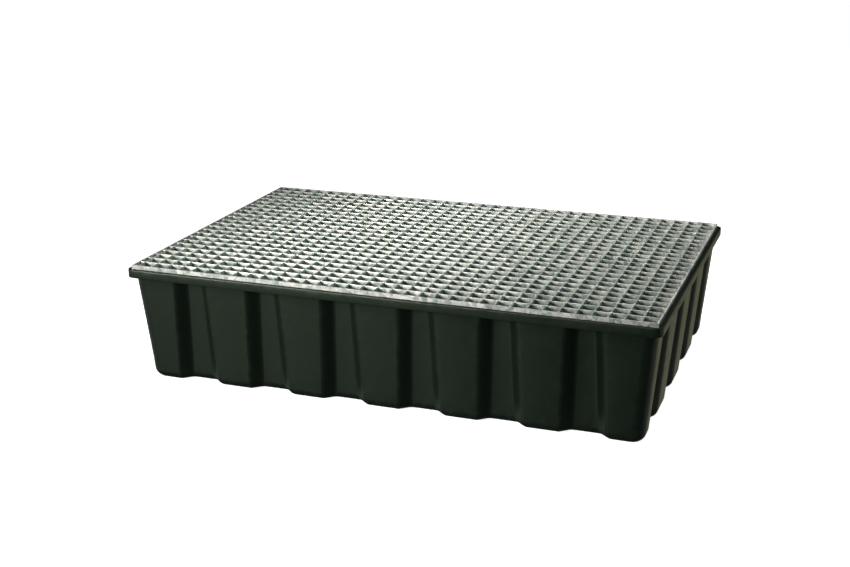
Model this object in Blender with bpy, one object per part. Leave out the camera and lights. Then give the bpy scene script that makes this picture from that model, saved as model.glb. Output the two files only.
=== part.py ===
"""Spill containment pallet: a ribbed plastic sump tray with a loose steel grating.

Metres, +Z up. The origin is at the middle of the tray's underside, +X runs along
the long side and -Y is the front. The grating rests on a ledge inside the rim and
lifts straight up, so its pieces hang from an empty on the lift axis.
"""

import math

import bmesh
import bpy
from mathutils import Vector

# ---------------------------------------------------------------- driving sizes
TRAY_LENGTH = 1.200
TRAY_WIDTH = 0.800
OVERALL_HEIGHT = 0.275          # underside of the tray to the top of the grating
GAP = 0.0003                    # clearance between pieces that touch

# rim
RIM_TOP = 0.267
RIM_BASE = 0.248
RIM_CORNER_RADIUS = 0.018
RIM_EDGE_RADIUS = 0.003
RIM_OVERHANG = 0.011            # from the rim's outer face back to the wall

# walls, base and sump
WALL_DRAFT = 0.022              # how far each wall leans in over its height
WALL_CORNER_RADIUS = 0.028
WALL_THICKNESS = 0.006
FLOOR_THICKNESS = 0.006
BASE_FILLET = 0.022
CORNER_STEPS = 6
FILLET_STEPS = 3

# upright recesses between the outward panels; "top" is at the rim, "base" at the floor
RECESS_PITCH = 0.1775
LONG_SIDE_RECESSES = 6
SHORT_SIDE_RECESSES = 4
RECESS_DEPTH_TOP = 0.022
RECESS_DEPTH_BASE = 0.020
RECESS_MOUTH_TOP = 0.080
RECESS_MOUTH_BASE = 0.098
RECESS_FLOOR_TOP = 0.037
RECESS_FLOOR_BASE = 0.054

# grating
GRATING_LENGTH = 1.180
GRATING_WIDTH = 0.778
GRATING_HEIGHT = 0.020
FRAME_THICKNESS = 0.003
BEARING_BARS = 35
BEARING_BAR_PITCH = 0.0332
BEARING_BAR_THICKNESS = 0.003
CROSS_BARS = 23
CROSS_BAR_THICKNESS = 0.002
CROSS_BAR_DEPTH = 0.010
SEAT_CLEARANCE = 0.0015         # around the grating, inside the rim

# ---------------------------------------------------------------- derived sizes
GRATING_BASE = OVERALL_HEIGHT - GRATING_HEIGHT
LEDGE_HEIGHT = GRATING_BASE - GAP
SEAT_HALF_LENGTH = GRATING_LENGTH / 2 + SEAT_CLEARANCE
SEAT_HALF_WIDTH = GRATING_WIDTH / 2 + SEAT_CLEARANCE
SLOT_WIDTH = CROSS_BAR_THICKNESS + 2 * GAP
SLOT_DEPTH = CROSS_BAR_DEPTH + GAP
BAR_LENGTH = GRATING_WIDTH - 2 * FRAME_THICKNESS - 2 * GAP
CROSS_BAR_PITCH = (GRATING_WIDTH - FRAME_THICKNESS) / (CROSS_BARS + 1)


# ---------------------------------------------------------------- materials
def plain_material(name, colour, roughness, metallic):
    material = bpy.data.materials.new(name)
    material.use_nodes = True
    shader = material.node_tree.nodes["Principled BSDF"]
    shader.inputs["Base Color"].default_value = (*colour, 1.0)
    shader.inputs["Roughness"].default_value = roughness
    shader.inputs["Metallic"].default_value = metallic
    return material


# ---------------------------------------------------------------- mesh helpers
def object_from(name, mesh, material, parent=None, location=(0.0, 0.0, 0.0)):
    """Adds an object; its location is relative to the parent, if it has one."""
    if not mesh.materials:
        mesh.materials.append(material)
    thing = bpy.data.objects.new(name, mesh)
    bpy.context.scene.collection.objects.link(thing)
    thing.parent = parent
    thing.location = location
    return thing


def mesh_from(name, bm):
    bmesh.ops.recalc_face_normals(bm, faces=bm.faces)
    mesh = bpy.data.meshes.new(name)
    bm.to_mesh(mesh)
    bm.free()
    return mesh


def loft(name, rings, closed=False):
    """Skins a stack of rings with equal point counts; caps the ends unless it closes on itself."""
    bm = bmesh.new()
    loops = [[bm.verts.new(point) for point in ring] for ring in rings]
    pairs = list(zip(loops, loops[1:]))
    if closed:
        pairs.append((loops[-1], loops[0]))
    else:
        bm.faces.new(loops[0])
        bm.faces.new(loops[-1])
    for lower, upper in pairs:
        for i in range(len(lower)):
            j = (i + 1) % len(lower)
            bm.faces.new((lower[i], lower[j], upper[j], upper[i]))
    return mesh_from(name, bm)


def extrude_outline(name, outline, direction):
    """Solid made by pushing a flat outline along a direction."""
    bm = bmesh.new()
    face = bm.faces.new([bm.verts.new(point) for point in outline])
    pushed = bmesh.ops.extrude_face_region(bm, geom=[face])
    moved = [item for item in pushed["geom"] if isinstance(item, bmesh.types.BMVert)]
    bmesh.ops.translate(bm, verts=moved, vec=direction)
    return mesh_from(name, bm)


def box(name, size):
    bm = bmesh.new()
    bmesh.ops.create_cube(bm, size=1.0)
    bmesh.ops.scale(bm, vec=size, verts=bm.verts)
    return mesh_from(name, bm)


# ---------------------------------------------------------------- tray outlines
def evenly_spaced(count, pitch):
    return [(i - (count - 1) / 2) * pitch for i in range(count)]


def side_points(recesses, mouth, recess_floor, depth):
    """Recess corners along one side as (distance along the side, distance inwards)."""
    points = []
    for centre in evenly_spaced(recesses, RECESS_PITCH):
        points.append((centre - mouth / 2, 0.0))
        points.append((centre - recess_floor / 2, depth))
        points.append((centre + recess_floor / 2, depth))
        points.append((centre + mouth / 2, 0.0))
    return points


def outline(half_length, half_width, radius, mouth, recess_floor, depth):
    """Counter-clockwise plan of the wall: four sides with recesses, and round corners."""
    sides = (
        (Vector((0, -1)), Vector((1, 0)), half_width, half_length, LONG_SIDE_RECESSES),
        (Vector((1, 0)), Vector((0, 1)), half_length, half_width, SHORT_SIDE_RECESSES),
        (Vector((0, 1)), Vector((-1, 0)), half_width, half_length, LONG_SIDE_RECESSES),
        (Vector((-1, 0)), Vector((0, -1)), half_length, half_width, SHORT_SIDE_RECESSES),
    )
    points = []
    for outward, along, reach, half_side, recesses in sides:
        for distance, inwards in side_points(recesses, mouth, recess_floor, depth):
            points.append(along * distance + outward * (reach - inwards))
        centre = along * (half_side - radius) + outward * (reach - radius)
        for step in range(CORNER_STEPS + 1):
            angle = math.pi / 2 * step / CORNER_STEPS
            spoke = outward * math.cos(angle) + along * math.sin(angle)
            points.append(centre + spoke * radius)
    return points


def shrink(points, distance):
    """Moves every edge of a counter-clockwise outline inwards by the same distance."""
    moved = []
    for i, point in enumerate(points):
        before = (point - points[i - 1]).normalized()
        after = (points[(i + 1) % len(points)] - point).normalized()
        normal_before = Vector((before.y, -before.x))
        normal_after = Vector((after.y, -after.x))
        mitre = (normal_before + normal_after) / (1.0 + normal_before.dot(normal_after))
        moved.append(point - mitre * distance)
    return moved


def wall_outline(height, inset=0.0):
    """Outer face of the ribbed wall at a height, pulled in by an inset."""
    fall = (RIM_BASE - height) / RIM_BASE
    lean = RIM_OVERHANG + WALL_DRAFT * fall

    def between(top, base):
        return top + (base - top) * fall

    plan = outline(
        TRAY_LENGTH / 2 - lean,
        TRAY_WIDTH / 2 - lean,
        WALL_CORNER_RADIUS,
        between(RECESS_MOUTH_TOP, RECESS_MOUTH_BASE),
        between(RECESS_FLOOR_TOP, RECESS_FLOOR_BASE),
        between(RECESS_DEPTH_TOP, RECESS_DEPTH_BASE),
    )
    return shrink(plan, inset)


def plain_outline(half_length, half_width, radius):
    """A round-cornered rectangle with the same point count as the wall."""
    return outline(half_length, half_width, radius, RECESS_MOUTH_TOP, RECESS_FLOOR_TOP, 0.0)


def at_height(points, height):
    return [(point.x, point.y, height) for point in points]


def fillet_rings(base, radius, inset):
    """Rings of the rounded edge between a floor at the base height and the wall above it."""
    rings = []
    for step in range(FILLET_STEPS + 1):
        angle = math.pi / 2 * step / FILLET_STEPS
        height = base + radius * (1 - math.sin(angle))
        pulled_in = inset + radius * (1 - math.cos(angle))
        rings.append(at_height(wall_outline(height, pulled_in), height))
    return rings


# ---------------------------------------------------------------- sub-parts
def build_tray(material):
    """One moulded shell: outside up from the base, over the rim, and down into the sump."""
    half_length = TRAY_LENGTH / 2
    half_width = TRAY_WIDTH / 2
    edge = RIM_EDGE_RADIUS
    rings = fillet_rings(0.0, BASE_FILLET, 0.0)[::-1]
    rings.append(at_height(wall_outline(RIM_BASE), RIM_BASE))
    rim_outer = plain_outline(half_length, half_width, RIM_CORNER_RADIUS)
    rings.append(at_height(rim_outer, RIM_BASE))
    for angle in (0.0, math.pi / 4, math.pi / 2):
        plan = shrink(rim_outer, edge * (1 - math.cos(angle)))
        rings.append(at_height(plan, RIM_TOP - edge * (1 - math.sin(angle))))
    seat = plain_outline(SEAT_HALF_LENGTH, SEAT_HALF_WIDTH, SEAT_CLEARANCE)
    rings.append(at_height(seat, RIM_TOP))
    rings.append(at_height(seat, LEDGE_HEIGHT))
    rings.append(at_height(wall_outline(RIM_BASE, WALL_THICKNESS), LEDGE_HEIGHT))
    inner_fillet = BASE_FILLET - WALL_THICKNESS
    rings += fillet_rings(FLOOR_THICKNESS, inner_fillet, WALL_THICKNESS)
    return object_from("sump_tray", loft("sump_tray", rings), material)


def build_grating_frame(material, lift):
    """Welded rectangle of flat bar around the edge of the grating."""

    def corners(inset, height):
        x = GRATING_LENGTH / 2 - inset
        y = GRATING_WIDTH / 2 - inset
        return [(-x, -y, height), (x, -y, height), (x, y, height), (-x, y, height)]

    rings = [
        corners(0.0, 0.0),
        corners(0.0, GRATING_HEIGHT),
        corners(FRAME_THICKNESS, GRATING_HEIGHT),
        corners(FRAME_THICKNESS, 0.0),
    ]
    mesh = loft("grating_frame", rings, closed=True)
    return object_from("grating_frame", mesh, material, lift)


def bearing_bar_mesh():
    """Upright flat bar along Y with a slot in its top edge for each cross bar."""
    start = -BAR_LENGTH / 2
    points = [(0.0, start, 0.0), (0.0, -start, 0.0), (0.0, -start, GRATING_HEIGHT)]
    for y in reversed(evenly_spaced(CROSS_BARS, CROSS_BAR_PITCH)):
        far = y + SLOT_WIDTH / 2
        near = y - SLOT_WIDTH / 2
        points.append((0.0, far, GRATING_HEIGHT))
        points.append((0.0, far, GRATING_HEIGHT - SLOT_DEPTH))
        points.append((0.0, near, GRATING_HEIGHT - SLOT_DEPTH))
        points.append((0.0, near, GRATING_HEIGHT))
    points.append((0.0, start, GRATING_HEIGHT))
    side = [Vector(point) - Vector((BEARING_BAR_THICKNESS / 2, 0.0, 0.0)) for point in points]
    return extrude_outline("bearing_bar", side, (BEARING_BAR_THICKNESS, 0.0, 0.0))


def build_bearing_bars(material, lift):
    """Bars across the short span, counted from the left; the cut-off cell is the left one."""
    mesh = bearing_bar_mesh()
    right_frame = GRATING_LENGTH / 2 - FRAME_THICKNESS / 2
    for number in range(1, BEARING_BARS + 1):
        x = right_frame - (BEARING_BARS + 1 - number) * BEARING_BAR_PITCH
        object_from(f"bearing_bar_{number:02d}", mesh, material, lift, (x, 0.0, 0.0))


def build_cross_bars(material, lift):
    """Thin flats along X, pressed into the slots flush with the top."""
    length = GRATING_LENGTH - 2 * FRAME_THICKNESS - 2 * GAP
    mesh = box("cross_bar", (length, CROSS_BAR_THICKNESS, CROSS_BAR_DEPTH))
    middle = GRATING_HEIGHT - CROSS_BAR_DEPTH / 2
    for number, y in enumerate(evenly_spaced(CROSS_BARS, CROSS_BAR_PITCH), start=1):
        object_from(f"cross_bar_{number:02d}", mesh, material, lift, (0.0, y, middle))


def main():
    for thing in list(bpy.data.objects):
        bpy.data.objects.remove(thing, do_unlink=True)

    plastic = plain_material("black_polyethylene", (0.020, 0.030, 0.023), 0.42, 0.0)
    zinc = plain_material("galvanised_steel", (0.60, 0.62, 0.62), 0.40, 0.9)

    build_tray(plastic)
    lift = bpy.data.objects.new("grating_lift", None)
    lift.location = (0.0, 0.0, GRATING_BASE)
    bpy.context.scene.collection.objects.link(lift)
    build_grating_frame(zinc, lift)
    build_bearing_bars(zinc, lift)
    build_cross_bars(zinc, lift)


main()
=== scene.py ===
import math
import random

import bmesh
import bpy
from mathutils import Matrix, Vector


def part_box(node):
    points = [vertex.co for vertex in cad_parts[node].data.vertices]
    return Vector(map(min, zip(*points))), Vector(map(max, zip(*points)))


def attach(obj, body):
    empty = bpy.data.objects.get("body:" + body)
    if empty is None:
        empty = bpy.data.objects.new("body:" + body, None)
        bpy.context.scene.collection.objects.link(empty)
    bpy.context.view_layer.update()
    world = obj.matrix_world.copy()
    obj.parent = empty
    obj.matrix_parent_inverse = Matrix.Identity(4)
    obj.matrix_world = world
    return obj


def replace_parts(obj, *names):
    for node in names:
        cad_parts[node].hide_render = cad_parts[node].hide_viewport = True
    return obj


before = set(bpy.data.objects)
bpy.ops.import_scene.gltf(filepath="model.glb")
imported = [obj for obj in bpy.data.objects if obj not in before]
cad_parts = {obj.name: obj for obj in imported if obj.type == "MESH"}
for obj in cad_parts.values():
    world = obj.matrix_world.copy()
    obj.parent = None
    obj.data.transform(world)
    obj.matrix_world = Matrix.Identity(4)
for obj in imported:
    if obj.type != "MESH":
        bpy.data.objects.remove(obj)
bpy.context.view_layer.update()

# ---------------------------------------------------------------- sizes, metres
_, TRAY_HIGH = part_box("sump_tray")
FRAME_LOW, FRAME_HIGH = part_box("grating_frame")
BAR_LOW, BAR_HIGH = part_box("bearing_bar_01")
CROSS_LOW, CROSS_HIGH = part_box("cross_bar_01")
GAP = 0.0003                    # clearance between neighbouring pieces

# rim and walls of the tray, as in the CAD model
HALF_LENGTH = TRAY_HIGH.x
HALF_WIDTH = TRAY_HIGH.y
RIM_TOP = TRAY_HIGH.z
RIM_BASE = 0.248
RIM_OVERHANG = 0.011            # from the rim's outer face back to the wall
RIM_CORNER_RADIUS = 0.018
WALL_DRAFT = 0.022              # how far each wall leans in over its height
WALL_CORNER_RADIUS = 0.028
WALL_THICKNESS = 0.006
FLOOR_THICKNESS = 0.006
BASE_FILLET = 0.022
SEAT_CLEARANCE = 0.0015         # around the grating, inside the rim
LEDGE_HEIGHT = FRAME_LOW.z - GAP

# the visual tray's own roundings, which don't follow the CAD model's
RIM_EDGE_RADIUS = 0.0016
RIM_LOWER_RADIUS = 0.0015
RIM_ROOT_RADIUS = 0.002         # where the wall turns out under the rim
SEAT_EDGE_RADIUS = 0.001
SEAT_CORNER_RADIUS = 0.003
LEDGE_EDGE_RADIUS = 0.002
PANEL_EDGE_RADIUS = 0.014
RECESS_ROOT_RADIUS = 0.011
LEAST_PANEL_EDGE_RADIUS = 0.003
LEAST_WALL_CORNER_RADIUS = 0.006

# upright recesses; pairs are (at the rim, at the base)
RECESS_PITCH = 0.1775
LONG_SIDE_RECESSES = 6
SHORT_SIDE_RECESSES = 4
RECESS_DEPTH = (0.022, 0.020)
RECESS_MOUTH = (0.080, 0.098)
RECESS_FLOOR = (0.037, 0.054)

# grating
FRAME_THICKNESS = 0.003
BEARING_BARS = 35
CROSS_BARS = 23


# ---------------------------------------------------------------- materials
def new_material(name):
    material = bpy.data.materials.new(name)
    material.use_nodes = True
    tree = material.node_tree
    return material, tree, tree.nodes["Principled BSDF"]


def add_node(tree, kind, **settings):
    """Adds a shader node; each setting is an input socket if it has one of that name."""
    made = tree.nodes.new(kind)
    for key, value in settings.items():
        socket = key.replace("_", " ")
        if socket in made.inputs:
            made.inputs[socket].default_value = value
        else:
            setattr(made, key, value)
    return made


def ramp(tree, source, stops):
    """Colour ramp fed by a socket; stops are (position, colour)."""
    made = tree.nodes.new("ShaderNodeValToRGB")
    elements = made.color_ramp.elements
    while len(elements) < len(stops):
        elements.new(0.5)
    for element, (position, colour) in zip(elements, stops):
        element.position = position
        element.color = (*colour, 1.0)
    tree.links.new(source, made.inputs["Fac"])
    return made.outputs["Color"]


def mapped(tree, source, low, high, to_low=0.0, to_high=1.0):
    """Takes the range from low to high, clamped, to the range from to_low to to_high."""
    made = add_node(tree, "ShaderNodeMapRange")
    ends = {"From Min": low, "From Max": high, "To Min": to_low, "To Max": to_high}
    for socket, value in ends.items():
        made.inputs[socket].default_value = value
    tree.links.new(source, made.inputs["Value"])
    return made.outputs["Result"]


def combine(tree, operation, a, b):
    """Math node on two inputs, each a socket or a number."""
    made = tree.nodes.new("ShaderNodeMath")
    made.operation = operation
    for socket, value in zip(made.inputs, (a, b)):
        if isinstance(value, (int, float)):
            socket.default_value = value
        else:
            tree.links.new(value, socket)
    return made.outputs["Value"]


MIX_FACTOR, MIX_COLOUR_A, MIX_COLOUR_B, MIX_RESULT = 0, 6, 7, 2


def blend_colours(tree, factor, a, b):
    """Colour mix; a and b are each a socket or a colour."""
    made = tree.nodes.new("ShaderNodeMix")
    made.data_type = "RGBA"
    tree.links.new(factor, made.inputs[MIX_FACTOR])
    for socket, value in ((made.inputs[MIX_COLOUR_A], a), (made.inputs[MIX_COLOUR_B], b)):
        if isinstance(value, tuple):
            socket.default_value = (*value, 1.0)
        else:
            tree.links.new(value, socket)
    return made.outputs[MIX_RESULT]


def noise(tree, place, scale, detail=3.0, roughness=0.5, stretch=None):
    made = add_node(tree, "ShaderNodeTexNoise", Scale=scale, Detail=detail, Roughness=roughness)
    if stretch:
        mapping = add_node(tree, "ShaderNodeMapping", Scale=stretch)
        tree.links.new(place, mapping.inputs["Vector"])
        place = mapping.outputs["Vector"]
    tree.links.new(place, made.inputs["Vector"])
    return made.outputs["Fac"]


def bump(tree, height, strength, distance, below=None):
    made = add_node(tree, "ShaderNodeBump", Strength=strength, Distance=distance)
    tree.links.new(height, made.inputs["Height"])
    if below:
        tree.links.new(below, made.inputs["Normal"])
    return made.outputs["Normal"]


def how_far_up(tree):
    """The upward part of the surface's direction, from -1 to 1."""
    normal = add_node(tree, "ShaderNodeNewGeometry").outputs["Normal"]
    split = tree.nodes.new("ShaderNodeSeparateXYZ")
    tree.links.new(normal, split.inputs["Vector"])
    return split.outputs["Z"]


# colours are linear; noise scales are in cycles per metre
PLASTIC_TONES = ((0.30, (0.0022, 0.0056, 0.0028)), (0.72, (0.0032, 0.0072, 0.0038)))
PLASTIC_WORN = (0.013, 0.019, 0.014)
PLASTIC_TINT = (0.86, 1.0, 0.84, 1)
DUST = (0.085, 0.078, 0.062)
CLOUD_SCALE = 7.0
STREAK_STRETCH = (150.0, 150.0, 9.0)
SCUFF_PATCH_SCALE = 11.0
EDGE_BREAK_SCALE = 60.0
DUST_SCALE = 16.0
PEEL_SCALE = 46.0
SKIN_GRAIN_SCALE = 520.0
SCUFF_SHARE = 0.35
RUB_SHARE = 0.55
DUST_SHARE = 0.5
WORN_ROUGHNESS = 0.35


def polyethylene(name, specular, gloss_range):
    """Green-black moulded plastic: grained skin, cloudy tone, scuffed edges, dusty sump floor."""
    material, tree, shader = new_material(name)
    link = tree.links.new
    place = add_node(tree, "ShaderNodeTexCoord").outputs["Object"]
    wear = add_node(tree, "ShaderNodeAttribute", attribute_name="wear").outputs["Fac"]
    inside = add_node(tree, "ShaderNodeAttribute", attribute_name="inside").outputs["Fac"]

    clouds = noise(tree, place, CLOUD_SCALE, detail=4.0, roughness=0.6)
    base = ramp(tree, clouds, PLASTIC_TONES)

    streaks = noise(tree, place, 1.0, detail=5.0, roughness=0.65, stretch=STREAK_STRETCH)
    scuffs = mapped(tree, streaks, 0.60, 0.74)
    patches = mapped(tree, noise(tree, place, SCUFF_PATCH_SCALE), 0.45, 0.68)
    scuffed = combine(tree, "MULTIPLY", scuffs, patches)
    breaks = noise(tree, place, EDGE_BREAK_SCALE, detail=5.0, roughness=0.7)
    rubbed = combine(tree, "MULTIPLY", wear, mapped(tree, breaks, 0.42, 0.70))
    light_scuffs = combine(tree, "MULTIPLY", scuffed, SCUFF_SHARE)
    light_rubs = combine(tree, "MULTIPLY", rubbed, RUB_SHARE)
    worn = combine(tree, "MAXIMUM", light_scuffs, light_rubs)
    colour = blend_colours(tree, worn, base, PLASTIC_WORN)

    facing_up = mapped(tree, how_far_up(tree), 0.55, 0.95)
    settled = combine(tree, "MULTIPLY", facing_up, inside)
    drifts = mapped(tree, noise(tree, place, DUST_SCALE, detail=6.0, roughness=0.7), 0.35, 0.75)
    dust = combine(tree, "MULTIPLY", settled, combine(tree, "MULTIPLY", drifts, DUST_SHARE))
    link(blend_colours(tree, dust, colour, DUST), shader.inputs["Base Color"])

    gloss = mapped(tree, clouds, 0.3, 0.7, *gloss_range)
    rougher = combine(tree, "MULTIPLY", combine(tree, "ADD", worn, dust), WORN_ROUGHNESS)
    link(combine(tree, "ADD", gloss, rougher), shader.inputs["Roughness"])
    shader.inputs["Specular IOR Level"].default_value = specular
    shader.inputs["Specular Tint"].default_value = PLASTIC_TINT

    grain = noise(tree, place, SKIN_GRAIN_SCALE, detail=2.0, roughness=0.55)
    peel = noise(tree, place, PEEL_SCALE, detail=2.0, roughness=0.4)
    swell = noise(tree, place, CLOUD_SCALE, detail=2.0, roughness=0.5)
    warped = bump(tree, swell, strength=0.6, distance=0.006)
    peeled = bump(tree, peel, strength=0.22, distance=0.0012, below=warped)
    grained = bump(tree, grain, strength=0.30, distance=0.00035, below=peeled)
    scored = bump(tree, worn, strength=0.25, distance=0.0003, below=grained)
    link(scored, shader.inputs["Normal"])
    return material


ZINC_TONES = ((0.0, (0.29, 0.36, 0.35)), (0.45, (0.56, 0.575, 0.55)), (1.0, (0.84, 0.82, 0.765)))
ZINC_BLOOM = (0.70, 0.715, 0.68)
ZINC_SPECKS = (0.075, 0.125, 0.12)
# pale zinc mixed into upward faces: a painted highlight
ZINC_TOP_HIGHLIGHT = (0.93, 0.91, 0.86)
ZINC_METALLIC = 0.55
SPANGLE_SCALE = 105.0
SPANGLE_WOBBLE_SCALE = 90.0
SPANGLE_WOBBLE = 0.006          # metres that a spangle's border wanders
BLOOM_SCALE = 42.0
SPECK_SCALE = 270.0
COAT_LUMP_SCALE = 75.0
COAT_GRAIN_SCALE = 900.0
BLOOM_SHARE = 0.55
SPECK_SHARE = 0.80
BLOOM_ROUGHNESS = 0.25


def tinted(colour, tint):
    return tuple(value * share for value, share in zip(colour, tint))


def galvanised(name, tint=(1.0, 1.0, 1.0), painted_top_highlight=0.0):
    """Hot-dip zinc: angular spangle, dull bloom, dark specks, a lumpy coat, and upward faces lightened
    towards pale zinc as a painted highlight.
    """
    material, tree, shader = new_material(name)
    link = tree.links.new
    place = add_node(tree, "ShaderNodeTexCoord").outputs["Object"]
    wobble = add_node(tree, "ShaderNodeTexNoise", Scale=SPANGLE_WOBBLE_SCALE, Detail=3.0)
    link(place, wobble.inputs["Vector"])
    shift = add_node(tree, "ShaderNodeVectorMath", operation="MULTIPLY_ADD")
    link(wobble.outputs["Color"], shift.inputs[0])
    shift.inputs[1].default_value = (SPANGLE_WOBBLE, SPANGLE_WOBBLE, SPANGLE_WOBBLE)
    link(place, shift.inputs[2])
    spangle = add_node(tree, "ShaderNodeTexVoronoi", Scale=SPANGLE_SCALE)
    link(shift.outputs["Vector"], spangle.inputs["Vector"])
    facet = tree.nodes.new("ShaderNodeSeparateColor")
    link(spangle.outputs["Color"], facet.inputs["Color"])

    tones = [(position, tinted(colour, tint)) for position, colour in ZINC_TONES]
    tone = ramp(tree, facet.outputs["Red"], tones)
    blooms = noise(tree, place, BLOOM_SCALE, detail=5.0, roughness=0.65)
    bloom = mapped(tree, blooms, 0.48, 0.68, to_high=BLOOM_SHARE)
    bloomed = blend_colours(tree, bloom, tone, ZINC_BLOOM)
    specks = noise(tree, place, SPECK_SCALE, roughness=0.6)
    speck = mapped(tree, specks, 0.58, 0.68, to_high=SPECK_SHARE)
    specked = blend_colours(tree, speck, bloomed, ZINC_SPECKS)
    # painted highlight: upward faces mixed towards pale zinc
    top = mapped(tree, how_far_up(tree), 0.5, 0.9, to_high=painted_top_highlight)
    link(blend_colours(tree, top, specked, ZINC_TOP_HIGHLIGHT), shader.inputs["Base Color"])

    gloss = mapped(tree, facet.outputs["Green"], 0.0, 1.0, 0.34, 0.56)
    duller = combine(tree, "MULTIPLY", bloom, BLOOM_ROUGHNESS)
    link(combine(tree, "ADD", gloss, duller), shader.inputs["Roughness"])
    shader.inputs["Metallic"].default_value = ZINC_METALLIC

    lumpy = bump(tree, noise(tree, place, COAT_LUMP_SCALE), strength=0.5, distance=0.0008)
    grain = noise(tree, place, COAT_GRAIN_SCALE, detail=2.0)
    grained = bump(tree, grain, strength=0.25, distance=0.0002, below=lumpy)
    link(grained, shader.inputs["Normal"])
    return material


# ---------------------------------------------------------------- mesh helpers
def add_piece(name, mesh, material, body):
    """Puts a mesh in the scene, riding on a body and wearing a slot's material."""
    piece = bpy.data.objects.new(name, mesh)
    mesh.materials.append(material)
    bpy.context.scene.collection.objects.link(piece)
    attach(piece, body)
    return piece


def finished_mesh(name, bm, smooth_angle=35.0):
    """Smooth-shaded mesh from a bmesh, with edges sharper than an angle, in degrees, kept sharp."""
    bmesh.ops.recalc_face_normals(bm, faces=bm.faces)
    mesh = bpy.data.meshes.new(name)
    bm.to_mesh(mesh)
    bm.free()
    mesh.shade_smooth()
    mesh.set_sharp_from_angle(angle=math.radians(smooth_angle))
    return mesh


# ---------------------------------------------------------------- tray outlines
STEPS = {"edge": 6, "root": 5, "corner": 14}        # along the arc at each kind of corner
FLAT_STEPS = 2                                      # along the straight between two arcs
STRAIGHT_ENOUGH = 0.005                             # radians; a corner flatter than this has no arc
STRAIGHT_SPREAD = 0.004                             # its points reach this far to both sides
MOST_OF_A_SIDE = 0.48                               # an arc uses up to this share of a side


def evenly_spaced(count, pitch):
    return [(i - (count - 1) / 2) * pitch for i in range(count)]


def outline(half_length, half_width, mouth, recess_floor, depth):
    """Counter-clockwise plan with sharp corners, and the kind of each corner."""
    sides = (
        (Vector((0, -1)), Vector((1, 0)), half_width, half_length, LONG_SIDE_RECESSES),
        (Vector((1, 0)), Vector((0, 1)), half_length, half_width, SHORT_SIDE_RECESSES),
        (Vector((0, 1)), Vector((-1, 0)), half_width, half_length, LONG_SIDE_RECESSES),
        (Vector((-1, 0)), Vector((0, -1)), half_length, half_width, SHORT_SIDE_RECESSES),
    )
    points, kinds = [], []
    for outward, along, reach, half_side, recesses in sides:
        for centre in evenly_spaced(recesses, RECESS_PITCH):
            for distance, inwards, kind in (
                (centre - mouth / 2, 0.0, "edge"),
                (centre - recess_floor / 2, depth, "root"),
                (centre + recess_floor / 2, depth, "root"),
                (centre + mouth / 2, 0.0, "edge"),
            ):
                points.append(along * distance + outward * (reach - inwards))
                kinds.append(kind)
        points.append(along * half_side + outward * reach)
        kinds.append("corner")
    return points, kinds


def shrink(points, distance):
    """Moves every edge of a counter-clockwise outline inwards by the same distance."""
    moved = []
    for i, point in enumerate(points):
        before = (point - points[i - 1]).normalized()
        after = (points[(i + 1) % len(points)] - point).normalized()
        normal_before = Vector((before.y, -before.x))
        normal_after = Vector((after.y, -after.x))
        mitre = (normal_before + normal_after) / (1.0 + normal_before.dot(normal_after))
        moved.append(point - mitre * distance)
    return moved


def corner_arc(point, before, after, radius, steps):
    """Points of the arc that rounds one corner; a straight corner gets evenly spread points."""
    to_before = (before - point).normalized()
    to_after = (after - point).normalized()
    cosine = max(-1.0, min(1.0, to_before.dot(to_after)))
    half_angle = math.acos(cosine) / 2
    if math.pi / 2 - half_angle < STRAIGHT_ENOUGH:
        spread = to_before * STRAIGHT_SPREAD
        return [point + spread * (1 - 2 * k / steps) for k in range(steps + 1)]
    shorter_side = min((before - point).length, (after - point).length)
    reach = min(radius / math.tan(half_angle), MOST_OF_A_SIDE * shorter_side)
    radius = reach * math.tan(half_angle)
    centre = point + (to_before + to_after).normalized() * math.hypot(reach, radius)
    spoke = point + to_before * reach - centre
    turn = -spoke.angle_signed(point + to_after * reach - centre)
    return [centre + Matrix.Rotation(turn * k / steps, 2) @ spoke for k in range(steps + 1)]


def rounded(points, kinds, radii):
    """Rounds each corner with a fixed number of points, so that all rings match."""
    count = len(points)
    arcs = []
    for i, (point, kind) in enumerate(zip(points, kinds)):
        before, after = points[i - 1], points[(i + 1) % count]
        arcs.append(corner_arc(point, before, after, radii[kind], STEPS[kind]))
    ring = []
    for i, arc in enumerate(arcs):
        ring += arc
        following = arcs[(i + 1) % count][0]
        ring += [arc[-1].lerp(following, k / FLAT_STEPS) for k in range(1, FLAT_STEPS)]
    return ring


def ring_kinds():
    """What each point of a ring is: an edge, a root, a corner, or flat."""
    _, kinds = outline(HALF_LENGTH, HALF_WIDTH, RECESS_MOUTH[0], RECESS_FLOOR[0], 0.0)
    spread = []
    for kind in kinds:
        spread += [kind] * (STEPS[kind] + 1) + ["flat"] * (FLAT_STEPS - 1)
    return spread


def wall_ring(height, inset):
    """The ribbed wall's outline at a height, pulled in by an inset."""
    fall = (RIM_BASE - height) / RIM_BASE
    lean = RIM_OVERHANG + WALL_DRAFT * fall

    def between(pair):
        return pair[0] + (pair[1] - pair[0]) * fall

    points, kinds = outline(
        HALF_LENGTH - lean,
        HALF_WIDTH - lean,
        between(RECESS_MOUTH),
        between(RECESS_FLOOR),
        between(RECESS_DEPTH),
    )
    radii = {
        "edge": max(PANEL_EDGE_RADIUS - inset / 2, LEAST_PANEL_EDGE_RADIUS),
        "root": RECESS_ROOT_RADIUS + inset / 2,
        "corner": max(WALL_CORNER_RADIUS - inset, LEAST_WALL_CORNER_RADIUS),
    }
    return [(p.x, p.y, height) for p in rounded(shrink(points, inset), kinds, radii)]


def plain_ring(half_length, half_width, radius, height):
    """A round-cornered rectangle with as many points as the wall."""
    points, kinds = outline(half_length, half_width, RECESS_MOUTH[0], RECESS_FLOOR[0], 0.0)
    radii = {"edge": 0.0, "root": 0.0, "corner": radius}
    return [(p.x, p.y, height) for p in rounded(points, kinds, radii)]


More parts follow.
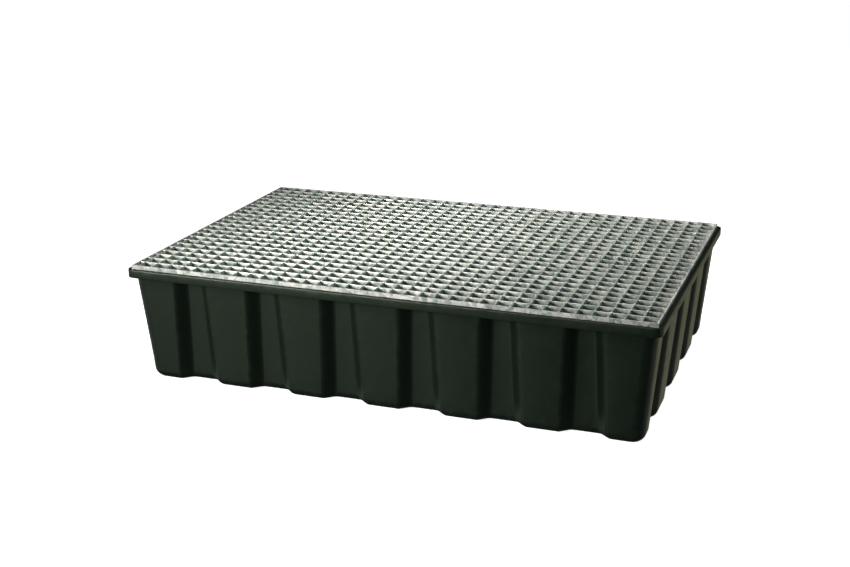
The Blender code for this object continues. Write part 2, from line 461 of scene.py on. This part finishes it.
# ---------------------------------------------------------------- tray
# how rubbed each ring of the tray's skin is, from 0 to 1
BASE_WEAR = 0.9
WALL_WEAR = 0.0
PANEL_EDGE_WEAR = 0.55          # at the panels' edges and the corners of a ring of wall
LIP_WEAR = 0.5
RIM_WEAR = 0.8
SEAT_WEAR = 0.6

WALL_STEPS = 8
FILLET_STEPS = 8


def rises_and_runs(*degrees):
    """Sine and cosine of each angle: the rise and run of a point round a quarter circle."""
    return [(math.sin(math.radians(angle)), math.cos(math.radians(angle))) for angle in degrees]


def outer_rings():
    """Base fillet, leaning wall, and the rim's outer face; each ring has a wear value."""
    rings = []
    for step in range(FILLET_STEPS + 1):
        angle = math.pi / 2 * (1 - step / FILLET_STEPS)
        height = BASE_FILLET * (1 - math.sin(angle))
        rings.append((wall_ring(height, BASE_FILLET * (1 - math.cos(angle))), BASE_WEAR))
    wall_height = RIM_BASE - RIM_ROOT_RADIUS - BASE_FILLET
    for step in range(1, WALL_STEPS + 1):
        height = BASE_FILLET + wall_height * step / WALL_STEPS
        rings.append((wall_ring(height, 0.0), WALL_WEAR))
    for rise, run in rises_and_runs(30, 60, 90):
        height = RIM_BASE - RIM_ROOT_RADIUS + RIM_ROOT_RADIUS * rise
        rings.append((wall_ring(height, -RIM_ROOT_RADIUS * (1 - run)), WALL_WEAR))
    for rise, run in rises_and_runs(-90, -45, 0):
        height = RIM_BASE + RIM_LOWER_RADIUS * (1 + rise)
        rings.append((rim_ring(RIM_LOWER_RADIUS * (1 - run), height), LIP_WEAR))
    for rise, run in rises_and_runs(0, 30, 60, 90):
        height = RIM_TOP - RIM_EDGE_RADIUS * (1 - rise)
        rings.append((rim_ring(RIM_EDGE_RADIUS * (1 - run), height), RIM_WEAR))
    return rings


def rim_ring(pulled_in, height):
    return plain_ring(
        HALF_LENGTH - pulled_in, HALF_WIDTH - pulled_in, RIM_CORNER_RADIUS - pulled_in, height
    )


def inner_rings():
    """Seat for the grating, ledge, inner wall and sump floor."""
    seat_x = FRAME_HIGH.x + SEAT_CLEARANCE
    seat_y = FRAME_HIGH.y + SEAT_CLEARANCE
    rings = []
    for rise, run in rises_and_runs(0, 45, 90):
        spread = SEAT_EDGE_RADIUS * (1 - rise)
        height = RIM_TOP - SEAT_EDGE_RADIUS * (1 - run)
        ring = plain_ring(seat_x + spread, seat_y + spread, SEAT_CORNER_RADIUS, height)
        rings.append((ring, SEAT_WEAR))
    rings.append((plain_ring(seat_x, seat_y, SEAT_CORNER_RADIUS, LEDGE_HEIGHT), WALL_WEAR))
    for rise, run in rises_and_runs(0, 45, 90):
        inset = WALL_THICKNESS - LEDGE_EDGE_RADIUS * (1 - rise)
        height = LEDGE_HEIGHT - LEDGE_EDGE_RADIUS * (1 - run)
        rings.append((wall_ring(height, inset), LIP_WEAR))
    fillet = BASE_FILLET - WALL_THICKNESS
    top = LEDGE_HEIGHT - LEDGE_EDGE_RADIUS
    bottom = FLOOR_THICKNESS + fillet
    for step in range(1, WALL_STEPS + 1):
        height = top + (bottom - top) * step / WALL_STEPS
        rings.append((wall_ring(height, WALL_THICKNESS), WALL_WEAR))
    for step in range(1, FILLET_STEPS + 1):
        angle = math.pi / 2 * step / FILLET_STEPS
        height = FLOOR_THICKNESS + fillet * (1 - math.sin(angle))
        inset = WALL_THICKNESS + fillet * (1 - math.cos(angle))
        rings.append((wall_ring(height, inset), WALL_WEAR))
    return rings


SEAT_RINGS = 3                  # of the inner rings, how many round the rim's inside edge
RIM_TOP_BAND = 0.0003           # faces this close to the rim's top have the matt plastic


def build_tray(material, rim_top_material):
    """One moulded shell, lofted up its outside, over the rim and down into the sump."""
    outside = outer_rings()
    rings = outside + inner_rings()
    kinds = ring_kinds()
    bm = bmesh.new()
    wear = bm.verts.layers.float.new("wear")
    inside = bm.verts.layers.float.new("inside")
    loops = []
    for number, (ring, ring_wear) in enumerate(rings):
        loop = []
        for point, kind in zip(ring, kinds):
            vert = bm.verts.new(point)
            rubbed = ring_wear == WALL_WEAR and kind in ("edge", "corner")
            vert[wear] = PANEL_EDGE_WEAR if rubbed else ring_wear
            vert[inside] = 1.0 if number >= len(outside) + SEAT_RINGS else 0.0
            loop.append(vert)
        loops.append(loop)
    bm.faces.new(loops[0])
    bm.faces.new(loops[-1])
    for lower, upper in zip(loops, loops[1:]):
        for i in range(len(lower)):
            j = (i + 1) % len(lower)
            bm.faces.new((lower[i], lower[j], upper[j], upper[i]))
    mesh = finished_mesh("tray_shell", bm, 40.0)
    tray = add_piece("tray_shell", mesh, material, "tray")
    tray.data.materials.append(rim_top_material)
    for face in tray.data.polygons:
        face.material_index = int(face.center.z > RIM_TOP - RIM_TOP_BAND)
    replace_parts(tray, "sump_tray")


# ---------------------------------------------------------------- grating
BAR_EDGE_ROUNDING = 0.00045
FRAME_EDGE_ROUNDING = 0.0006
SHARP_ANGLE = 0.5               # radians


def round_edges(bm, width):
    sharp = [edge for edge in bm.edges if edge.calc_face_angle(0.0) > SHARP_ANGLE]
    bmesh.ops.bevel(
        bm, geom=sharp, offset=width, offset_type="OFFSET", segments=2, profile=0.5,
        affect="EDGES", clamp_overlap=True,
    )


def bearing_bar_mesh():
    """Flat bar on edge with a slot for each cross bar, seen from the side and thickened."""
    slot_half = (CROSS_HIGH.y - CROSS_LOW.y) / 2 + GAP
    slot_base = CROSS_LOW.z - GAP
    pitch = cross_bar_pitch()
    side = [(BAR_LOW.y, BAR_LOW.z), (BAR_HIGH.y, BAR_LOW.z), (BAR_HIGH.y, BAR_HIGH.z)]
    for y in reversed(evenly_spaced(CROSS_BARS, pitch)):
        side.append((y + slot_half, BAR_HIGH.z))
        side.append((y + slot_half, slot_base))
        side.append((y - slot_half, slot_base))
        side.append((y - slot_half, BAR_HIGH.z))
    side.append((BAR_LOW.y, BAR_HIGH.z))
    half = (BAR_HIGH.x - BAR_LOW.x) / 2
    bm = bmesh.new()
    face = bm.faces.new([bm.verts.new((-half, y, z)) for y, z in side])
    pushed = bmesh.ops.extrude_face_region(bm, geom=[face])
    moved = [item for item in pushed["geom"] if isinstance(item, bmesh.types.BMVert)]
    bmesh.ops.translate(bm, verts=moved, vec=(2 * half, 0, 0))
    round_edges(bm, BAR_EDGE_ROUNDING)
    return finished_mesh("bearing_bar_zinc", bm)


def cross_bar_pitch():
    second_low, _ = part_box("cross_bar_02")
    return second_low.y - CROSS_LOW.y


def middle_of(node_name):
    low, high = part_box(node_name)
    return (low + high) / 2


def moved_copy(mesh, name, offset):
    """A mesh of its own for each bar, so that its zinc pattern differs from its neighbours'."""
    copy = mesh.copy()
    copy.name = name
    copy.transform(Matrix.Translation(offset))
    return copy


def build_bearing_bars(material):
    pattern = bearing_bar_mesh()
    for number in range(1, BEARING_BARS + 1):
        node = f"bearing_bar_{number:02d}"
        name = f"zinc_bearing_bar_{number:02d}"
        mesh = moved_copy(pattern, name, (middle_of(node).x, 0, 0))
        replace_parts(add_piece(name, mesh, material, "grating"), node)


def build_cross_bars(material):
    size = CROSS_HIGH - CROSS_LOW
    bm = bmesh.new()
    bmesh.ops.create_cube(bm, size=1.0)
    bmesh.ops.scale(bm, vec=size, verts=bm.verts)
    round_edges(bm, BAR_EDGE_ROUNDING)
    pattern = finished_mesh("cross_bar_zinc", bm)
    for number in range(1, CROSS_BARS + 1):
        node = f"cross_bar_{number:02d}"
        name = f"zinc_cross_bar_{number:02d}"
        mesh = moved_copy(pattern, name, middle_of(node))
        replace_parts(add_piece(name, mesh, material, "grating"), node)


def build_frame(material):
    """Flat bar round the edge of the grating, as one ring with eased edges."""
    def corners(inset, height):
        x = FRAME_HIGH.x - inset
        y = FRAME_HIGH.y - inset
        return [(-x, -y, height), (x, -y, height), (x, y, height), (-x, y, height)]

    sections = (
        corners(0.0, FRAME_LOW.z),
        corners(0.0, FRAME_HIGH.z),
        corners(FRAME_THICKNESS, FRAME_HIGH.z),
        corners(FRAME_THICKNESS, FRAME_LOW.z),
    )
    bm = bmesh.new()
    loops = [[bm.verts.new(point) for point in ring] for ring in sections]
    for lower, upper in zip(loops, loops[1:] + loops[:1]):
        for i in range(4):
            j = (i + 1) % 4
            bm.faces.new((lower[i], lower[j], upper[j], upper[i]))
    round_edges(bm, FRAME_EDGE_ROUNDING)
    mesh = finished_mesh("zinc_frame", bm)
    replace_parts(add_piece("zinc_frame", mesh, material, "grating"), "grating_frame")


FILLET_RADIUS = 0.0011
FILLET_HOLLOW = 0.32 * FILLET_RADIUS        # how far its hollow face stands off the corner
FILLET_TUCK = 0.0003                        # how far it runs into both bars
FILLET_BELOW_TOP = 0.0004
FILLET_ABOVE_BASE = 0.0003


def add_prism(bm, plan, bottom, top):
    """Closed upright prism on a plan of (x, y) points."""
    ends = []
    for z in (bottom, top):
        ends.append([bm.verts.new((x, y, z)) for x, y in plan])
    count = len(plan)
    for i in range(count):
        j = (i + 1) % count
        bm.faces.new((ends[0][i], ends[0][j], ends[1][j], ends[1][i]))
    bm.faces.new(ends[0])
    bm.faces.new(ends[1])


def build_joint_fillets(material):
    """Zinc drawn into the four corners of every crossing."""
    bm = bmesh.new()
    top = CROSS_HIGH.z - FILLET_BELOW_TOP
    bottom = CROSS_LOW.z + FILLET_ABOVE_BASE
    half_bar = (BAR_HIGH.x - BAR_LOW.x) / 2
    half_cross = (CROSS_HIGH.y - CROSS_LOW.y) / 2
    plan = (
        (-FILLET_TUCK, -FILLET_TUCK),
        (FILLET_RADIUS, -FILLET_TUCK),
        (FILLET_RADIUS, 0.0),
        (FILLET_HOLLOW, FILLET_HOLLOW),
        (0.0, FILLET_RADIUS),
        (-FILLET_TUCK, FILLET_RADIUS),
    )
    for number in range(1, BEARING_BARS + 1):
        x = middle_of(f"bearing_bar_{number:02d}").x
        for y in evenly_spaced(CROSS_BARS, cross_bar_pitch()):
            for side_x in (-1, 1):
                for side_y in (-1, 1):
                    corner_x = x + side_x * half_bar
                    corner_y = y + side_y * half_cross
                    placed = [(corner_x + side_x * u, corner_y + side_y * v) for u, v in plan]
                    add_prism(bm, placed, bottom, top)
    mesh = finished_mesh("joint_fillets", bm)
    add_piece("joint_fillets", mesh, material, "grating")


# weld beads, metres: (length, radius, height of the lower end above the frame's)
BAR_BEAD = (0.0125, 0.0016, 0.003)
CORNER_BEAD = (0.017, 0.0018, 0.001)
BEAD_SEGMENTS = 10
BEAD_RIPPLES = 7
BEAD_NECK = 0.82                # a bead's radius between two ripples, as a share of the full one
BEAD_END = 0.06                 # share of the length over which the end stops tapering
BEAD_TAPER = 0.35               # power of the sine that tapers both ends
BEAD_UNEVENNESS = 0.07
WELD_SEED = 11


def weld_bead(bm, x, y, bead, rng):
    """Upright rippled bead: a stack of overlapping lumps in the corner of two plates."""
    length, radius, lift = bead
    start = Vector((x, y, FRAME_LOW.z + lift))
    rings = []
    for k in range(BEAD_RIPPLES * 2 + 1):
        t = k / (BEAD_RIPPLES * 2)
        taper = math.sin(math.pi * min(max(t, BEAD_END), 1 - BEAD_END)) ** BEAD_TAPER
        swell = radius * (BEAD_NECK + (1 - BEAD_NECK) * (k % 2)) * taper
        swell *= rng.uniform(1 - BEAD_UNEVENNESS, 1 + BEAD_UNEVENNESS)
        centre = start + Vector((0, 0, length * t))
        ring = []
        for i in range(BEAD_SEGMENTS):
            angle = 2 * math.pi * i / BEAD_SEGMENTS
            spoke = Vector((math.cos(angle), math.sin(angle), 0)) * swell
            ring.append(bm.verts.new(centre + spoke))
        rings.append(ring)
    bm.faces.new(rings[0])
    bm.faces.new(rings[-1])
    for lower, upper in zip(rings, rings[1:]):
        for i in range(BEAD_SEGMENTS):
            j = (i + 1) % BEAD_SEGMENTS
            bm.faces.new((lower[i], lower[j], upper[j], upper[i]))


def build_welds(material):
    """A bead at both ends of every bearing bar, on alternate sides, and one in each frame corner."""
    rng = random.Random(WELD_SEED)
    bm = bmesh.new()
    inner_y = FRAME_HIGH.y - FRAME_THICKNESS
    half_bar = (BAR_HIGH.x - BAR_LOW.x) / 2
    for number in range(1, BEARING_BARS + 1):
        x = middle_of(f"bearing_bar_{number:02d}").x
        for end in (-1, 1):
            side = 1 if (number + (end > 0)) % 2 else -1
            weld_bead(bm, x + side * half_bar, end * inner_y, BAR_BEAD, rng)
    inner_x = FRAME_HIGH.x - FRAME_THICKNESS
    for side_x in (-1, 1):
        for side_y in (-1, 1):
            weld_bead(bm, side_x * inner_x, side_y * inner_y, CORNER_BEAD, rng)
    mesh = finished_mesh("weld_beads", bm, 60.0)
    add_piece("weld_beads", mesh, material, "grating")


# ---------------------------------------------------------------- stage
ROOM_LIGHT = (0.037, 0.050, 0.048)
# Soft round glows, all a little below the horizon. Each row has, in degrees, the azimuth (from -Y
# towards +X) and elevation it lies at, and the angles from its middle where it starts and where it
# is full; then its light.
GLOWS = (
    (165.0, -21.0, 40.0, 14.0, (0.29, 0.285, 0.195)),
    (112.0, -12.0, 32.0, 10.0, (0.24, 0.25, 0.23)),
    (98.0, -6.0, 26.0, 8.0, (0.50, 0.53, 0.50)),
    (-90.0, -6.0, 44.0, 16.0, (0.34, 0.36, 0.34)),
    (15.0, -27.0, 66.0, 30.0, (0.085, 0.095, 0.088)),
    (-32.0, -27.0, 20.0, 4.0, (0.59, 0.64, 0.60)),
)
FLOOR_SIZE = 80.0
DOME_RADIUS = 36.0
PALE = (0.84, 0.84, 0.83, 1)
PALE_ROUGHNESS = 0.9
PALE_SPECULAR = 0.2
PALE_GLOW = 0.95


def build_stage():
    """A pale floor and dome, which show themselves but throw no light back on the object."""
    material, _, shader = new_material("pale_studio")
    shader.inputs["Base Color"].default_value = PALE
    shader.inputs["Roughness"].default_value = PALE_ROUGHNESS
    shader.inputs["Specular IOR Level"].default_value = PALE_SPECULAR
    shader.inputs["Emission Color"].default_value = (1, 1, 1, 1)
    shader.inputs["Emission Strength"].default_value = PALE_GLOW
    bpy.ops.mesh.primitive_plane_add(size=FLOOR_SIZE)
    floor = bpy.context.object
    floor.name = "studio_floor"
    bpy.ops.mesh.primitive_uv_sphere_add(segments=64, ring_count=32, radius=DOME_RADIUS)
    dome = bpy.context.object
    dome.name = "studio_dome"
    for piece in (floor, dome):
        piece.data.materials.append(material)
        piece.visible_diffuse = False
        piece.visible_glossy = False
        piece.visible_shadow = False


def glow_towards(tree, place, azimuth, elevation, starts, full):
    """How far a direction lies inside a soft round glow, from 0 to 1; angles are in degrees."""
    turn, rise = math.radians(azimuth), math.radians(elevation)
    level = math.cos(rise)
    aim = Vector((math.sin(turn) * level, -math.cos(turn) * level, math.sin(rise)))
    towards = add_node(tree, "ShaderNodeVectorMath", operation="DOT_PRODUCT")
    tree.links.new(place, towards.inputs[0])
    towards.inputs[1].default_value = aim
    outer, inner = math.cos(math.radians(starts)), math.cos(math.radians(full))
    return mapped(tree, towards.outputs["Value"], outer, inner)


def build_world():
    """A dim room with soft glows low around the object, as lit ground and pale walls would give."""
    world = bpy.data.worlds.new("studio")
    world.use_nodes = True
    tree = world.node_tree
    background = tree.nodes["Background"]
    place = add_node(tree, "ShaderNodeTexCoord").outputs["Generated"]
    light = ROOM_LIGHT
    for azimuth, elevation, starts, full, colour in GLOWS:
        glow = glow_towards(tree, place, azimuth, elevation, starts, full)
        light = blend_colours(tree, glow, light, colour)
    tree.links.new(light, background.inputs["Color"])
    background.inputs["Strength"].default_value = 1.0
    bpy.context.scene.world = world


# name: place and target in metres, size in metres, power in watts, colour, spread in degrees
LIGHTS = {
    "key": ((-1.9, -2.4, 1.1), (-0.03, 0.0, 0.23), (0.4, 0.4), 4.0, (1.0, 0.97, 0.93), 36.0),
    "fill": ((-1.2, -2.7, 1.25), (0.3, 0.0, 0.2), (0.4, 0.4), 2.3, (1.0, 0.98, 0.95), 36.0),
    "top_card": ((0.0, 0.2, 2.6), (0.0, 0.0, 0.2), (2.0, 1.4), 48.0, (1.0, 1.0, 1.0), 180.0),
    "rear_fill": ((2.0, 1.9, 2.2), (0.1, 0.2, 0.15), (0.9, 0.9), 5.0, (1.0, 1.0, 1.0), 180.0),
}


def build_lights():
    for name, (place, target, size, power, colour, spread) in LIGHTS.items():
        data = bpy.data.lights.new(name, "AREA")
        data.shape = "RECTANGLE"
        data.size, data.size_y = size
        data.energy = power
        data.color = colour
        data.spread = math.radians(spread)
        lamp = bpy.data.objects.new(name, data)
        lamp.location = place
        aim = Vector(target) - Vector(place)
        lamp.rotation_euler = aim.to_track_quat("-Z", "Y").to_euler()
        bpy.context.scene.collection.objects.link(lamp)


# ---------------------------------------------------------------- camera
CAMERA_PLACE = Vector((1.0075, -2.8951, 1.1608))
CAMERA_AZIMUTH = 21.333         # degrees, from -Y towards +X
CAMERA_ELEVATION = 17.794
CAMERA_ROLL = -0.621
CAMERA_SENSOR = 36.0            # millimetres, as is the lens
CAMERA_LENS = 57.6
CAMERA_SHIFT = 0.0425


def build_camera():
    azimuth = math.radians(CAMERA_AZIMUTH)
    elevation = math.radians(CAMERA_ELEVATION)
    roll = math.radians(CAMERA_ROLL)
    level = math.cos(elevation)
    forward = Vector((-math.sin(azimuth) * level, math.cos(azimuth) * level, -math.sin(elevation)))
    right = Vector((math.cos(azimuth), math.sin(azimuth), 0))
    up = right.cross(forward)
    x_axis = right * math.cos(roll) + up * math.sin(roll)
    y_axis = up * math.cos(roll) - right * math.sin(roll)
    turn = Matrix((x_axis, y_axis, -forward)).transposed()
    data = bpy.data.cameras.new("photo_camera")
    data.sensor_width = CAMERA_SENSOR
    data.lens = CAMERA_LENS
    data.shift_x = CAMERA_SHIFT
    camera = bpy.data.objects.new("photo_camera", data)
    camera.matrix_world = Matrix.Translation(CAMERA_PLACE) @ turn.to_4x4()
    bpy.context.scene.collection.objects.link(camera)
    bpy.context.scene.camera = camera


# ---------------------------------------------------------------- the whole scene
build_camera()
# frame, joint fillets and welds: tops lightened up to a third of the way as a painted highlight
zinc = galvanised("galvanised_zinc", painted_top_highlight=0.35)
satin_plastic = polyethylene("green_black_polyethylene", specular=0.5, gloss_range=(0.30, 0.36))
matt_plastic = polyethylene("scuffed_rim_polyethylene", specular=0.12, gloss_range=(0.62, 0.70))
build_tray(satin_plastic, matt_plastic)
build_frame(zinc)
# bearing bars: a darker, teal-tinted copy of the zinc as painted shade
painted_shade_zinc = galvanised("painted_shade_zinc", tint=(0.56, 0.68, 0.63))
build_bearing_bars(painted_shade_zinc)
# cross bars: faces tinted slightly darker as painted shade, tops fully lightened as a painted
# highlight
painted_highlight_and_shade_zinc = galvanised("painted_highlight_and_shade_zinc", tint=(0.89, 0.92, 0.88), painted_top_highlight=1.0)
build_cross_bars(painted_highlight_and_shade_zinc)
build_joint_fillets(zinc)
build_welds(zinc)
build_stage()
build_world()
build_lights()
bpy.context.scene.view_settings.view_transform = "Standard"
